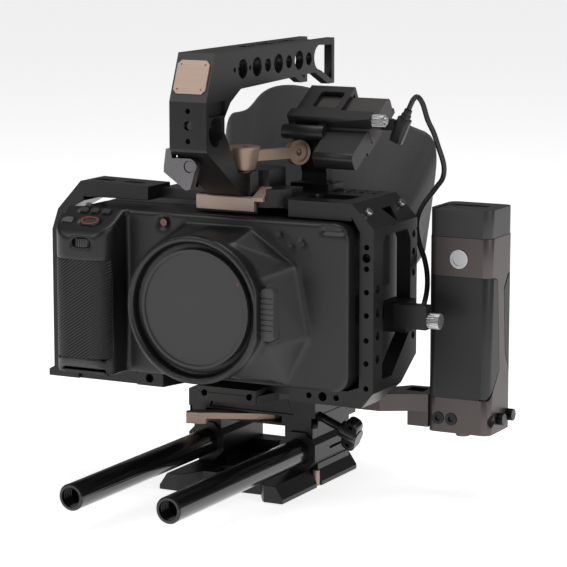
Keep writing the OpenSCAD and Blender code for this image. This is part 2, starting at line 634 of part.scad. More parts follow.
module on_handle_face() {
    slope = atan2(face_run, handle_rise - 56);
    translate([0, handle_y0 + face_run/2, cage_z1 + 56 + (handle_rise - 56)/2])
        rotate([90 - slope, 0, 0]) children();
}

module handle_badge() color([0.76, 0.68, 0.62]) on_handle_face() difference() {
    linear_extrude(1) polygon([[-7.6, -9.6], [7.6, -9.6], [9.9, -7.4], [9.9, 7.4], [7.6, 9.6],
        [-7.6, 9.6], [-9.9, 7.4], [-9.9, -7.4]]);
    for (x = [-7.4, 7.4], y = [-7, 7]) translate([x, y, 0.4]) cylinder(r = 0.6, h = 1);
}

module handle_lever() color([0.61, 0.51, 0.44]) translate([lever_x, lever_y, lever_z + 0.1]) {
    turn = 60.6;
    ring_z = 7.4;
    ring_r = 7.2;
    difference() {
        union() {
            cylinder(r1 = 7, r2 = 9.7, h = 13);
            rotate([0, 0, turn]) {
                translate([5, -2.6, 4.4]) cube([lever_reach - 11, 5.2, 6]);
                translate([lever_reach, 0, ring_z]) rotate([90, 0, 0])
                    translate([0, 0, -2.5]) cylinder(r = ring_r, h = 5);
            }
            translate([0, 0, -8]) cylinder(r = 2.45, h = 9);
        }
        rotate([0, 0, turn]) {
            translate([lever_reach, 0, ring_z]) rotate([90, 0, 0])
                translate([0, 0, -5]) cylinder(r = 1.9, h = 10);
            translate([lever_reach, -1.6, ring_z]) rotate([90, 0, 0])
                cylinder(r = ring_r - 1.8, h = 3);
        }
        translate([0, 0, 10]) cylinder(r = 3, h = 4, $fn = 6);
    }
}

// The cam lever on the left of the post, with a thumb hook at its upper end.
module handle_clamp() translate([clamp_x, clamp_y, clamp_z]) {
    color([0.45, 0.44, 0.44]) difference() {
        union() {
            along_y(-3, 2.4) polygon([[-14.6, 9.2], [-11.6, 9.6], [-10.9, 4.2], [0, 4.4],
                [3.6, -2], [0.6, -12.6], [-2.4, -13.2], [-16, -3.8], [-16, -1]]);
            rod_y(0, 0, -3, 2.4, 4.4);
        }
        rod_y(0, 0, -3.6, -1, 3.4);
    }
    color([0.8, 0.8, 0.8]) {
        rod_y(0, 0, -2.4, 12, 2);
        rod_y(0, 0, -2.4, -0.8, 3);
    }
}

// ---- Drive and cable ----

// Axes on the drive: the origin is its right top rear corner, +Y runs down its slope.
module on_drive() translate([drive_x1, drive_y1, drive_z1]) rotate([180 + drive_tilt, 0, 0])
    mirror([0, 0, 1]) children();

module solid_state_drive() color([0.3, 0.28, 0.28]) on_drive()
    along_x(-drive_w, 0) round_rect([0, -drive_t], [drive_l, 0], 3.4);

module drive_holder() color([0.1, 0.1, 0.1]) {
    hx0 = -drive_w - 4.2;
    hx1 = -22;
    plate_z = -drive_t - 3.5;
    bar_y = drive_l - 7.5;
    difference() {
        on_drive() union() {
            // The frame over the drive's upper left corner, its back, side and floor.
            span([hx0, -3.5, 0.3], [hx1, 20, 3]);
            span([hx0, -3.5, plate_z], [hx1, -0.4, 3]);
            span([hx0, -3.5, plate_z], [-drive_w - 0.4, drive_l - 0.5, 3]);
            span([hx0, -3.5, plate_z], [-1, drive_l - 0.5, -drive_t - 0.4]);
            // The clamp bar across the drive, and the lower jaw under its right half.
            span([hx0, bar_y, 0.3], [2, drive_l - 0.5, 7]);
            along_x(-25, 0) round_rect([drive_l + 0.4, -drive_t], [drive_l + 26.4, 0], 3.4);
            span([-25, drive_l - 1, plate_z], [-1, drive_l + 6, -drive_t + 3]);
            // The hinge's two lugs, hanging from the bar.
            for (x = [-49, -30]) span([x, drive_l - 2, -3], [x + 4, drive_l + 7, 3]);
        }
        on_drive() slab_z([hx0 + 9, 2, -0.5], [hx1 - 4, 17, 4], 2);
        on_drive() along_x(-drive_w, 0.1) round_rect([-0.1, -drive_t - 0.1], [drive_l + 0.1, 0.1], 3.4);
    }
    // The hinge, the stand that runs down behind the lever's ring, and its foot.
    hinge_z = cage_z1 + 33.5;
    rod_x(11.8, hinge_z, 17, 43, 4.2);
    along_x(22, 38) polygon([[8.5, hinge_z - 1.5], [11, hinge_z + 3.5], [14.8, hinge_z + 2.2],
        [17.4, hinge_z - 1.4], [20.6, hinge_z - 7], [24.5, hinge_z - 9.2], [31, cage_z1 + 9],
        [31, cage_z1 + 3], [24, cage_z1 + 3], [24.5, cage_z1 + 9], [19.7, cage_z1 + 20.5],
        [19.7, cage_z1 + 25], [15.5, cage_z1 + 29.9]]);
    difference() {
        along_z(cage_z1, cage_z1 + 4) polygon([[20, 14], [44, 14], [46, 17], [46, 31], [20, 31]]);
        translate([42, 20, cage_z1 - 1]) cylinder(r = 2.2, h = 9);
    }
}

module drive_thumb_screw() color([0.8, 0.8, 0.8]) on_drive() translate([2.2, drive_l - 4, 3.6])
    rotate([0, 90, 0]) {
        knurled(3.6, 7.2, 16);
        translate([0, 0, 7.2]) cylinder(r = 2.2, h = 1.2);
    }

plug_lean = 23;
module on_plug() translate([cable_route[0][0], cable_route[0][1], cable_route[0][2]])
    rotate([0, plug_lean, 0]) children();

module drive_plug() color([0.1, 0.1, 0.1]) {
    on_plug() {
        slab_z([-4, -3.4, -20], [4, 3.4, -5.5], 2.6);
        translate([0, 0, -6]) cylinder(r = 2.9, h = 3);
        translate([0, 0, -3.5]) cylinder(r = 2.3, h = 3.5);
    }
    // The plug's nose, in the socket at the drive's end.
    span([drive_x1, cable_route[0][1] - 2.5, cable_route[0][2] - 12],
        [drive_x1 + 8, cable_route[0][1] + 2.5, cable_route[0][2] - 6]);
}

// The cable: a round tube swept along a smooth curve through the route's points.
function smooth(p0, p1, p2, p3, t) = 0.5*((2*p1) + (p2 - p0)*t
    + (2*p0 - 5*p1 + 4*p2 - p3)*t*t + (3*p1 - p0 - 3*p2 + p3)*t*t*t);
function at_route(i) = cable_route[max(0, min(len(cable_route) - 1, i))];
cable_path = [for (i = [0 : len(cable_route) - 2], k = [0 : cable_rings - 1])
    smooth(at_route(i - 1), at_route(i), at_route(i + 1), at_route(i + 2), k/cable_rings),
    at_route(len(cable_route) - 1)];
function unit(v) = v/norm(v);
function tangent(i) = unit(cable_path[min(len(cable_path) - 1, i + 1)] - cable_path[max(0, i - 1)]);
function side_of(i) = unit(cross(tangent(i), [0.35, -0.9, 0.1]));

module data_cable() color([0.08, 0.08, 0.08]) {
    n = len(cable_path);
    m = cable_sides;
    points = [for (i = [0 : n - 1], k = [0 : m - 1]) cable_path[i]
        + cable_dia/2*(side_of(i)*cos(360*k/m) + cross(tangent(i), side_of(i))*sin(360*k/m))];
    walls = [for (i = [0 : n - 2], k = [0 : m - 1])
        [i*m + k, i*m + (k + 1)%m, (i + 1)*m + (k + 1)%m, (i + 1)*m + k]];
    caps = [[for (k = [m - 1 : -1 : 0]) k], [for (k = [0 : m - 1]) (n - 1)*m + k]];
    polyhedron(points, [for (f = concat(walls, caps)) [for (k = [len(f) - 1 : -1 : 0]) f[k]]]);
}

module cable_clamp() color([0.18, 0.17, 0.17]) difference() {
    union() {
        span([cage_x0 - 1, 6, port_z0], [cage_x1 + 4, cage_y1 - 9, port_z1]);
        span([cage_x1, -2, port_z0 + 4], [cage_x1 + 20, 6, port_z1]);
        span([cage_x1, 5, port_z0 + 4], [cage_x1 + 4, 8, port_z1]);
    }
    // The plug's channel.
    span([cage_x0 - 2, 9, port_z0 + 5], [cage_x1 + 5, cage_y1, port_z0 + 13.5]);
    rod_x(2, port_z0 + 9, cage_x1 + 6, cage_x1 + 21, 2.1);
}

module clamp_thumb_screw() color([0.8, 0.8, 0.8])
    translate([cage_x1 + 7, 2, port_z0 + 9]) rotate([0, 90, 0]) {
        cylinder(r = 2.04, h = 13.6);
        translate([0, 0, 13.3]) knurled(4.4, 7, 16);
    }

module camera_plug() color([0.1, 0.1, 0.1]) {
    span([cam_x1, 10, port_z0 + 5.4], [cage_x1 + 3, 17.5, port_z0 + 13.2]);
}

// ---- Screen hood ----

module hood_frame() color([0.12, 0.12, 0.12]) difference() {
    slab_y([frame_x0, frame_y, frame_z0], [frame_x1, hood_y0, frame_z1], 4);
    slab_y([frame_x0 + 5, frame_y - 1, frame_z0 + 5], [frame_x1 - 5, hood_y0 + 1, frame_z1 - 5], 3);
}

// The hood's outline at its frame and at its open rear rim, inset by its thickness.
module hood_near(inset) polygon([
    [frame_x0 + inset, frame_z0 + inset], [frame_x1 - inset, frame_z0 + inset],
    [frame_x1 - inset, frame_z1 - inset], [frame_x0 + inset, frame_z1 - inset]]);

module hood_far(inset) polygon([
    [-60 + inset, 100 + inset], [63.5 - inset, 100 + inset], [74 - inset, 174],
    [74.5 - inset, 190], [70 - inset, 199 - inset], [60, 202 - inset], [30, 212 - inset],
    [-9, 223.5 - inset], [-28, 224.5 - inset], [-42, 220 - inset], [-58 + inset, 209 - inset],
    [-68 + inset, 204 - inset], [-69 + inset, 185]]);

module sun_hood() color([0.23, 0.23, 0.23]) difference() {
    hull() {
        along_y(hood_y0 + 0.3, hood_y0 + 0.5) hood_near(0);
        along_y(hood_y1 - 0.2, hood_y1) hood_far(0);
    }
    hull() {
        along_y(hood_y0 - 0.2, hood_y0) hood_near(hood_t);
        along_y(hood_y1 + 0.5, hood_y1 + 0.7) hood_far(hood_t);
    }
}

// ---- Side grip ----

side_x1 = side_x0 + side_w;
side_y1 = side_y0 + side_d;

module side_plan(inset = 0) round_rect([side_x0 + inset, side_y0 + inset],
    [side_x1 - inset, side_y1 - inset], 5 - inset/2);

module side_grip_body() color([0.36, 0.32, 0.31]) difference() {
    union() {
        along_z(side_z0 + foot_h - 4, cap_z0) side_plan(1.4);
        along_z(cap_z0 - 22, cap_z0) side_plan(0);
        along_z(side_z0, side_z0 + foot_h) side_plan(0);
        // The metal cheek on the outer side, between the two rubbers.
        intersection() {
            along_z(side_z0, cap_z0) side_plan(0);
            along_x(side_x1 - 6, side_x1) polygon([
                [side_y0, side_z0], [side_y1, side_z0], [side_y1, side_z0 + 26],
                [side_y0 + 23, side_z0 + 44], [side_y0 + 20, cap_z0 - 30], [side_y1, cap_z0 - 12],
                [side_y1, cap_z0], [side_y0, cap_z0], [side_y0, cap_z0 - 20],
                [side_y0 + 11, cap_z0 - 24], [side_y0 + 15, side_z0 + 36],
                [side_y0 + 2, side_z0 + foot_h]]);
        }
        translate([side_x0 + 19, side_y0 + 8, side_z0 - 2.4]) cylinder(r = 4, h = 3);
    }
    // The battery's bay, open at the top, and the run button's pocket.
    slab_z([side_x0 + 6, side_y0 + 6, side_z0 + foot_h + 2],
        [side_x1 - 8, side_y1 - 5, side_z1], 6);
    rod_y(side_x0 + 19, cap_z0 - 12, side_y0 - 1, side_y0 + 4.2, 5.6);
    // Screw seats and the triangular window in the foot, and the knobs' tapped holes.
    for (x = [7, 15]) rod_y(side_x0 + x, side_z0 + 8, side_y0 - 1, side_y0 + 2, 3.6);
    rod_x(side_y0 + 5, side_z0 + 8, side_x1 - 3, side_x1 + 1, 3.6);
    for (y = [13, 27]) rod_x(side_y0 + y, side_z0 + 8, side_x1 - 6, side_x1 + 1, 1.55);
    // The bracket's screw holes.
    for (y = [10, 20]) rod_x(side_y0 + y, side_z0 + 10, side_x0 - 1, side_x0 + 8, 2);
}

// The rubber fills the waist round the front and back of the grip.
module side_grip_rubber() color([0.12, 0.12, 0.12]) difference() {
    intersection() {
        along_z(side_z0 + foot_h + 0.1, cap_z0 - 22.1) side_plan(0);
        union() {
            span([side_x0 - 1, side_y0 - 1, side_z0], [side_x1 - 6.1, side_y1 + 1, cap_z0]);
            along_x(side_x1 - 6.1, side_x1 + 1) polygon([
                [side_y0 - 1, side_z0 + foot_h + 1], [side_y0 + 1, side_z0 + foot_h + 1],
                [side_y0 + 14.6, side_z0 + 36], [side_y0 + 10.6, cap_z0 - 24],
                [side_y0 - 1, cap_z0 - 21]]);
            along_x(side_x1 - 6.1, side_x1 + 1) polygon([
                [side_y1 + 1, side_z0 + 26.4], [side_y1, side_z0 + 26.6],
                [side_y0 + 23.6, side_z0 + 44.4], [side_y0 + 20.6, cap_z0 - 31],
                [side_y1 + 1, cap_z0 - 14]]);
        }
    }
    along_z(side_z0, cap_z0) side_plan(1.35);
}

module grip_top_cap() color([0.2, 0.19, 0.19]) difference() {
    along_z(cap_z0 + 0.2, side_z1) side_plan(0.2);
    slab_z([side_x0 + 3, side_y0 - 1, side_z1 - 0.8], [side_x1 - 9, side_y0 + 22, side_z1 + 1], 3);
}

module run_button() color([0.85, 0.85, 0.85]) difference() {
    rod_y(side_x0 + 19, cap_z0 - 12, side_y0 - 0.8, side_y0 + 3, 5.4);
    rod_y(side_x0 + 19, cap_z0 - 12, side_y0 - 1.5, side_y0 - 0.2, 3.8);
}

module grip_battery() color([0.2, 0.2, 0.22])
    translate([side_x0 + 18, side_y0 + 16.5, side_z0 + foot_h + 4]) cylinder(r = 9.2, h = 65);

module grip_bracket() color([0.34, 0.31, 0.3]) difference() {
    low = base_z0 - 10;
    union() {
        // From under the cage's rear right corner, out and down to the grip's inner side.
        along_z(low, base_z0 - 0.1) polygon([
            [58, 12], [78, 12], [92, 20], [side_x0 - 0.1, 24], [side_x0 - 0.1, 46], [84, 44],
            [70, 28], [58, 28]]);
        span([90, 24, low - 9], [side_x0 - 0.1, 46, low + 1]);
    }
    span([86, 30, base_z0 - 4], [side_x0 - 6, 40, base_z0 + 1]);
    for (y = [10, 20]) rod_x(side_y0 + y, side_z0 + 10, 98, side_x0 + 1, 2);
    accessory_row_z([64, 71], [20], low - 1, base_z0 + 1, 2.2);
}

module grip_knob(y) translate([side_x1 - 5, side_y0 + y, side_z0 + 8]) rotate([0, 90, 0]) {
    cylinder(r = 1.5, h = 5.2);
    translate([0, 0, 5.2]) knurled(3.4, 4, 14);
}
module grip_knob_front() color([0.15, 0.15, 0.15]) grip_knob(13);
module grip_knob_rear() color([0.15, 0.15, 0.15]) grip_knob(27);

module grip_screws() color([0.15, 0.15, 0.15])
    for (x = [7, 15]) translate([side_x0 + x, side_y0 + 2, side_z0 + 8]) rotate([90, 0, 0])
        socket_head(3.5, 2.6, 1.8);

// ---- Quick release, rods and base ----

quick_half = 27;
quick_neck = 22;

module quick_plate() color([0.2, 0.19, 0.19]) difference() {
    union() {
        // The tongue that slides between the jaws, and the plate over it.
        along_y(4, 56) polygon([[-quick_half, clamp_z1 + 0.2], [quick_half, clamp_z1 + 0.2],
            [quick_neck, quick_z0], [-quick_neck, quick_z0]]);
        along_z(quick_z0, base_z0 - 0.1) polygon([[-19, cage_y0 + 2], [-17, cage_y0],
            [17, cage_y0], [19, cage_y0 + 2], [24, -8], [30, -4], [30, 56], [-30, 56], [-30, -4],
            [-24, -8]]);
        span([-19, cage_y0 + 0.5, quick_z0], [19, -13, base_z0 + 3.4]);
    }
    for (x = [-14, 15]) rod_y(x, quick_z0 + 4.2, cage_y0 - 1, cage_y0 + 7, 1.9);
    for (y = [14, 38]) translate([0, y, clamp_z1 - 1]) rotate([0, 0, 90]) linear_extrude(14)
        stadium(12, 6.6);
}

// An eight-sided clamp round a rod, whose lowest flat rests on the base plate.
module rod_block(x) translate([x, 3, rod_z]) rotate([-90, 0, 0]) rotate([0, 0, 22.5])
    cylinder(r = (rod_z - plate_t)/cos(22.5), h = clamp_len, $fn = 8);

module quick_base() {
    half = 42;
    s = rod_spacing/2;
    color([0.17, 0.16, 0.16]) difference() {
        union() {
            slab_z([-half, 3, clamp_z0], [half, 58, clamp_z1], 3);
            // The two jaws, undercut to hold the plate's tongue.
            for (m = [0, 1]) mirror([m, 0, 0]) along_y(3, 58) polygon([
                [half - 0.5, clamp_z1 - 1], [half - 0.5, jaw_z - 1], [half - 2, jaw_z],
                [quick_neck + 1.4, jaw_z], [quick_half + 0.6, clamp_z1 + 0.3],
                [quick_half + 0.6, clamp_z1 - 1]]);
            // The rod clamps, hanging under the jaws.
            for (x = [-s, s]) {
                rod_block(x);
                span([x - 9, 5, rod_z + 8], [x + 9, 3 + clamp_len, clamp_z0 + 1]);
                span([x - 9, 12, plate_t], [x + 9, 3 + clamp_len, rod_z - 8]);
            }
            // The cross bar between them at the rear.
            span([-s, 3 + clamp_len - 13, plate_t], [s, 3 + clamp_len, plate_t + 7]);
        }
        for (x = [-s, s]) {
            rod_y(x, rod_z, 0, 5 + clamp_len, rod_dia/2 + rod_fit);
            // Each clamp's slit runs outward from its bore.
            span([x > 0 ? x : x - 20, 22, rod_z - 0.8], [x > 0 ? x + 20 : x, 5 + clamp_len, rod_z + 0.8]);
        }
        for (y = [18, 30]) rod_x(y, rod_z + 8.5, -s - 14, -s - 6, 1.6);
        // The lever's slot at the front and its pivot hole.
        span([-30, 2, clamp_z0 + 1.4], [20, 22, clamp_z1 - 1.4]);
        // The knob's screw hole, running down into the right jaw.
        on_knob() translate([0, 0, -9]) cylinder(r = 2.55, h = 14);
        translate([0, 40, plate_t - 1]) cylinder(r = 2.2, h = 10);
    }
    color([0.5, 0.5, 0.5]) translate([10, 14, clamp_z0 + 1]) cylinder(r = 2.5, h = 5);
}

module quick_lever() color([0.73, 0.64, 0.58]) difference() {
    z0 = clamp_z0 + 1.6;
    z1 = clamp_z1 - 1.6;
    union() {
        along_z(z0, z1) polygon([[10, 19], [5, 15], [-24, 1.5], [-34, -3], [-37, -8], [-35, -12],
            [-28, -10], [-20, -6], [4, 4], [12, 9], [15, 14]]);
        along_z(z0 - 3, z1) polygon([[-26, -0.4], [-34, -3], [-37, -8], [-35, -12], [-28, -10],
            [-24, -8]]);
    }
    translate([10, 14, z0 - 1]) cylinder(r = 2.56, h = 8);
}

module support_rod(x) color([0.04, 0.04, 0.04]) {
    y0 = 3 + clamp_len - rod_len;
    r = rod_dia/2;
    // A shallow groove just ahead of the clamp marks how far the rod goes in.
    stop = rod_len - clamp_len - 2;
    difference() {
        translate([x, y0, rod_z]) rotate([-90, 0, 0]) rotate_extrude() polygon([
            [r - 2, 0], [r - 0.7, 0], [r, 0.7], [r, stop - 0.6], [r - 0.25, stop - 0.6],
            [r - 0.25, stop], [r, stop], [r, rod_len - 0.7], [r - 0.7, rod_len],
            [r - 2, rod_len]]);
        // A few turns of thread relief inside the front end.
        for (i = [0 : 4]) translate([x, y0 + 2 + 1.75*i, rod_z]) rotate([-90, 0, 0])
            rotate_extrude() polygon([[r - 2.5, -0.1], [r - 1.3, 0.5], [r - 2.5, 1.1]]);
    }
}
module rod_left() support_rod(-rod_spacing/2);
module rod_right() support_rod(rod_spacing/2);

knob_tilt = 22;
module on_knob() translate([43, 9, clamp_z1 - 1]) rotate([0, 90 + knob_tilt, 0]) children();

module wing_knob() on_knob() {
    color([0.8, 0.8, 0.8]) translate([0, 0, -8]) cylinder(r = 2.5, h = 22);
    color([0.07, 0.07, 0.07]) {
        translate([0, 0, 13.5]) cylinder(r1 = 5, r2 = 4.4, h = 12);
        rotate([0, 0, 25]) difference() {
            translate([0, 3.4, 16]) rotate([90, 0, 0]) linear_extrude(6.8)
                round_rect([-10.4, 0], [10.4, 9], 4);
            for (s = [-1, 1]) translate([s*7, 5, 20.5]) rotate([90, 0, 0]) cylinder(r = 1.4, h = 10);
        }
    }
}

module dovetail_plate() color([0.17, 0.16, 0.16]) difference() {
    half = plate_w/2;
    y0 = -35;
    y1 = y0 + plate_l;
    union() {
        // The dovetail: narrow at its middle, wide at its foot.
        along_y(y0 + 14, y1) polygon([[-half, 0], [half, 0], [half, 2.6], [half - 5, plate_t],
            [-half + 5, plate_t], [-half, 2.6]]);
        // The front, with a toe at each side.
        for (m = [0, 1]) mirror([m, 0, 0]) along_z(0, plate_t)
            polygon([[half - 22, y0 + 15], [half - 14, y0 + 2], [half - 12, y0], [half, y0],
                [half, y0 + 15]]);
    }
    // The toes' sloping tops.
    for (m = [0, 1]) mirror([m, 0, 0]) translate([half - 5, y0 - 1, plate_t]) rotate([0, 56, 0])
        cube([14, plate_l + 2, 8]);
    // Weight-saving windows and the tripod holes.
    slab_z([-14, y0 + 24, -1], [14, -8, plate_t + 1], 4);
    slab_z([-14, 24, -1], [14, 36, plate_t + 1], 4);
    translate([0, 0, -1]) cylinder(r = tripod_r, h = plate_t + 2);
    translate([0, 16, -1]) cylinder(r = 4.7625, h = plate_t + 2);
    translate([0, 40, -1]) cylinder(r = 2.2, h = plate_t + 2);
    // The lock pin's notch.
    span([half - 7, 9, -1], [half + 1, 15, plate_t + 1]);
}

module lock_pin() color([0.72, 0.62, 0.55]) {
    translate([plate_w/2 - 2.2, 12, 0.6]) cylinder(r = 2, h = plate_t - 1);
}

camera_front_shell();
camera_rear_shell();
grip_rubber();
lens_mount_ring();
image_sensor();
main_board();
cooling_fan();
camera_battery();
body_cap();
lens_release_button();
record_button();
still_button();
iso_button();
shutter_button();
white_balance_button();
power_switch();
control_dial();
tally_lens();
touch_screen();
port_door();
battery_door();
menu_button();
play_button();
cage_top_plate();
cage_right_frame();
cage_left_arm();
cage_base();
cage_badge();
cage_screws();
handle_body();
handle_badge();
handle_lever();
handle_clamp();
drive_holder();
solid_state_drive();
drive_thumb_screw();
drive_plug();
data_cable();
cable_clamp();
clamp_thumb_screw();
camera_plug();
hood_frame();
sun_hood();
side_grip_body();
side_grip_rubber();
grip_top_cap();
run_button();
grip_battery();
grip_bracket();
grip_knob_front();
grip_knob_rear();
grip_screws();
quick_plate();
quick_base();
quick_lever();
rod_left();
rod_right();
wing_knob();
dovetail_plate();
lock_pin();
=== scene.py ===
import math

import bpy
import numpy as np
from mathutils import Matrix


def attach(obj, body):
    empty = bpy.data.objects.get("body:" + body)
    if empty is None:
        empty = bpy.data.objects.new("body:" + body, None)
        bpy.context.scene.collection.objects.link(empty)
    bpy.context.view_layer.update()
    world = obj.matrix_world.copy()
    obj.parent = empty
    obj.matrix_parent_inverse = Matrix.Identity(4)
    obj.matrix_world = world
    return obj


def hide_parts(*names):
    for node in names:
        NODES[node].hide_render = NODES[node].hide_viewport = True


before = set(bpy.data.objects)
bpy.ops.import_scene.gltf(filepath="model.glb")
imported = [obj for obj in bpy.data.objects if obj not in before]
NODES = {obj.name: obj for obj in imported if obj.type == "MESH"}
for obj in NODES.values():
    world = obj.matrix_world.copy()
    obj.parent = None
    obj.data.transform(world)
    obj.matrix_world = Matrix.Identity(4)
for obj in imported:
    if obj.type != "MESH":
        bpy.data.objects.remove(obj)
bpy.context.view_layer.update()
scene = bpy.context.scene
MM = 0.001


# ---- Viewing camera ----
# The long lens looks at the rig from its front right, a little from above.
camera_data = bpy.data.cameras.new("viewing_camera")
camera_data.lens = 158.7
camera_data.sensor_width = 36
camera_data.clip_end = 20
viewer = bpy.data.objects.new("viewing_camera", camera_data)
scene.collection.objects.link(viewer)
viewer.location = (0.66622, -1.25222, 0.3555)
viewer.rotation_euler = (math.radians(90 - 9.5), 0, math.radians(27.2))
scene.camera = viewer


# ---- Data cable ----
# A thin round cable with a smooth black jacket runs from the drive's plug to the camera's
# port. It arches over, passes behind the cage's rear bar and turns forward into its clamp.
def new_material(name):
    """An empty principled material: returns the material, its node tree and its shader."""
    material = bpy.data.materials.new(name)
    material.use_nodes = True
    tree = material.node_tree
    return material, tree, tree.nodes["Principled BSDF"]


def object_noise(tree, scale, detail=4.0, stretch=(1, 1, 1), rough=0.5):
    """A noise texture on Object coordinates, stretched along the axes as given."""
    place = tree.nodes.new("ShaderNodeTexCoord")
    mapping = tree.nodes.new("ShaderNodeMapping")
    mapping.inputs["Scale"].default_value = stretch
    noise = tree.nodes.new("ShaderNodeTexNoise")
    noise.inputs["Scale"].default_value = scale
    noise.inputs["Detail"].default_value = detail
    noise.inputs["Roughness"].default_value = rough
    tree.links.new(place.outputs["Object"], mapping.inputs["Vector"])
    tree.links.new(mapping.outputs["Vector"], noise.inputs["Vector"])
    return noise.outputs["Fac"]


def ramp(tree, factor, low, high, start=0.3, end=0.7):
    """Maps a factor between two colours, or two grey values, with straight blending."""
    node = tree.nodes.new("ShaderNodeValToRGB")
    for stop, colour, place in ((0, low, start), (1, high, end)):
        if not hasattr(colour, "__len__"):
            colour = (colour,) * 3
        node.color_ramp.elements[stop].position = place
        node.color_ramp.elements[stop].color = (*colour, 1)
    tree.links.new(factor, node.inputs["Fac"])
    return node.outputs["Color"]


def bumped(tree, shader, heights, strength, distance):
    """Turns a height output into the shader's normal, chained after any earlier bump."""
    bump = tree.nodes.new("ShaderNodeBump")
    bump.inputs["Strength"].default_value = strength
    bump.inputs["Distance"].default_value = distance
    tree.links.new(heights, bump.inputs["Height"])
    earlier = shader.inputs["Normal"].links
    if earlier:
        tree.links.new(earlier[0].from_socket, bump.inputs["Normal"])
    tree.links.new(bump.outputs["Normal"], shader.inputs["Normal"])


def surface(name, colour, rough, metal=0.0, vary=0.12, grain=900, depth=0.00004,
            strength=0.5, stretch=(1, 1, 1), coat=0.0, sheen=0.0, specular=0.5):
    """A finish: its colour drifts a little in broad patches and its roughness in fine ones,
    and a fine grain raises it by depth metres."""
    material, tree, shader = new_material(name)
    shader.inputs["Metallic"].default_value = metal
    shader.inputs["Coat Weight"].default_value = coat
    shader.inputs["Coat Roughness"].default_value = 0.12
    shader.inputs["Sheen Weight"].default_value = sheen
    shader.inputs["Specular IOR Level"].default_value = specular
    broad = object_noise(tree, 28, 5, stretch)
    low = tuple(c*(1 - vary) for c in colour)
    high = tuple(min(1, c*(1 + vary)) for c in colour)
    tree.links.new(ramp(tree, broad, low, high), shader.inputs["Base Color"])
    fine = object_noise(tree, grain, 3, stretch)
    tree.links.new(ramp(tree, fine, rough*0.88, min(1, rough*1.12)), shader.inputs["Roughness"])
    bumped(tree, shader, fine, strength, depth)
    return material


def shown_mesh(name, verts, faces, material, body, smooth=True):
    """Makes a finished piece at the origin from its points and faces, riding on a body."""
    mesh = bpy.data.meshes.new(name)
    mesh.from_pydata(np.asarray(verts).tolist(), [], faces)
    mesh.validate()
    mesh.update()
    if smooth:
        mesh.shade_smooth()
    mesh.materials.append(material)
    obj = bpy.data.objects.new(name, mesh)
    scene.collection.objects.link(obj)
    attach(obj, body)
    return obj


def smooth_line(points, count):
    """A centripetal-like cubic through the points (each span is a Catmull-Rom cubic),
    resampled at equal lengths."""
    p = np.asarray(points, float)
    p = np.vstack([2*p[0] - p[1], p, 2*p[-1] - p[-2]])
    t = np.linspace(0, 1, 40, endpoint=False)[:, None]
    spans = [0.5*(2*p[i] + (p[i + 1] - p[i - 1])*t
                  + (2*p[i - 1] - 5*p[i] + 4*p[i + 1] - p[i + 2])*t**2
                  + (3*p[i] - p[i - 1] - 3*p[i + 1] + p[i + 2])*t**3)
             for i in range(1, len(p) - 2)]
    line = np.vstack(spans + [p[-2:-1]])
    along = np.concatenate([[0], np.cumsum(np.linalg.norm(np.diff(line, axis=0), axis=1))])
    even = np.linspace(0, along[-1], count)
    return np.stack([np.interp(even, along, line[:, k]) for k in range(3)], 1), along[-1]


def tube(path, radii, sides, hint=(0.35, -0.9, 0.1)):
    """A round tube with closed ends: circles of the given radii, square to the path, whose
    first direction is the path's tangent crossed with the hint."""
    tangent = np.gradient(path, axis=0)
    tangent /= np.linalg.norm(tangent, axis=1)[:, None]
    side = np.cross(tangent, hint)
    side /= np.linalg.norm(side, axis=1)[:, None]
    up = np.cross(tangent, side)
    angle = np.linspace(0, 2*np.pi, sides, endpoint=False)
    ring = (side[:, None]*np.cos(angle)[None, :, None] + up[:, None]*np.sin(angle)[None, :, None])
    verts = (path[:, None] + np.asarray(radii)[:, None, None]*ring).reshape(-1, 3)
    n, m = len(path), sides
    i, k = np.meshgrid(np.arange(n - 1), np.arange(m), indexing="ij")
    quads = np.stack([i*m + k, i*m + (k + 1) % m, (i + 1)*m + (k + 1) % m, (i + 1)*m + k], -1)
    faces = [list(map(int, q)) for q in quads.reshape(-1, 4)]
    return verts, faces + [list(range(m))[::-1], [(n - 1)*m + k for k in range(m)]]


CABLE_ROUTE = np.array([
    [83.8, 36, 218.9], [85, 36.2, 221.8], [86.6, 36.6, 225], [88.8, 37.2, 226.4],
    [91.6, 38, 222.5], [94.1, 39.5, 213.4], [97.2, 41, 206.1], [99.1, 42.5, 199.2],
    [101.9, 45, 187.7], [101, 46, 180.1], [97.3, 46, 174.7], [94, 45, 170], [90.5, 42.5, 164],
    [88.5, 40.5, 158], [88.5, 38.5, 151], [91, 36.5, 143], [94.5, 35.5, 135], [97, 34, 127],
    [99, 30, 119], [99.5, 25.5, 111.5], [99.5, 20.5, 107]])*MM
CABLE_DIAMETER = 0.003
cable_line, cable_length = smooth_line(CABLE_ROUTE, 160)
cable_verts, cable_faces = tube(cable_line, np.full(160, CABLE_DIAMETER/2), 14)
jacket = surface("cable_jacket", (0.012, 0.012, 0.013), 0.38, grain=2500, depth=0.00002, coat=0.15)
cable = shown_mesh("data_cable_jacket", cable_verts, cable_faces, jacket, "camera")
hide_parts("data_cable")


# ---- Machined and moulded pieces carried over from the frame ----
# The cage, handle, rods, base and controls are machined or moulded parts whose shapes are
# already right. Each gets its finish, and most also have their sharp edges broken as a real edge
# is.
def edge_break(obj, width, angle=28, segments=2):
    """Welds the node's loose triangles and bevels every edge sharper than the angle."""
    weld = obj.modifiers.new("weld", "WELD")
    weld.merge_threshold = 0.000004
    bevel = obj.modifiers.new("edge_break", "BEVEL")
    bevel.width = width
    bevel.segments = segments
    bevel.limit_method = "ANGLE"
    bevel.angle_limit = math.radians(angle)
    bevel.use_clamp_overlap = True
    bevel.harden_normals = True


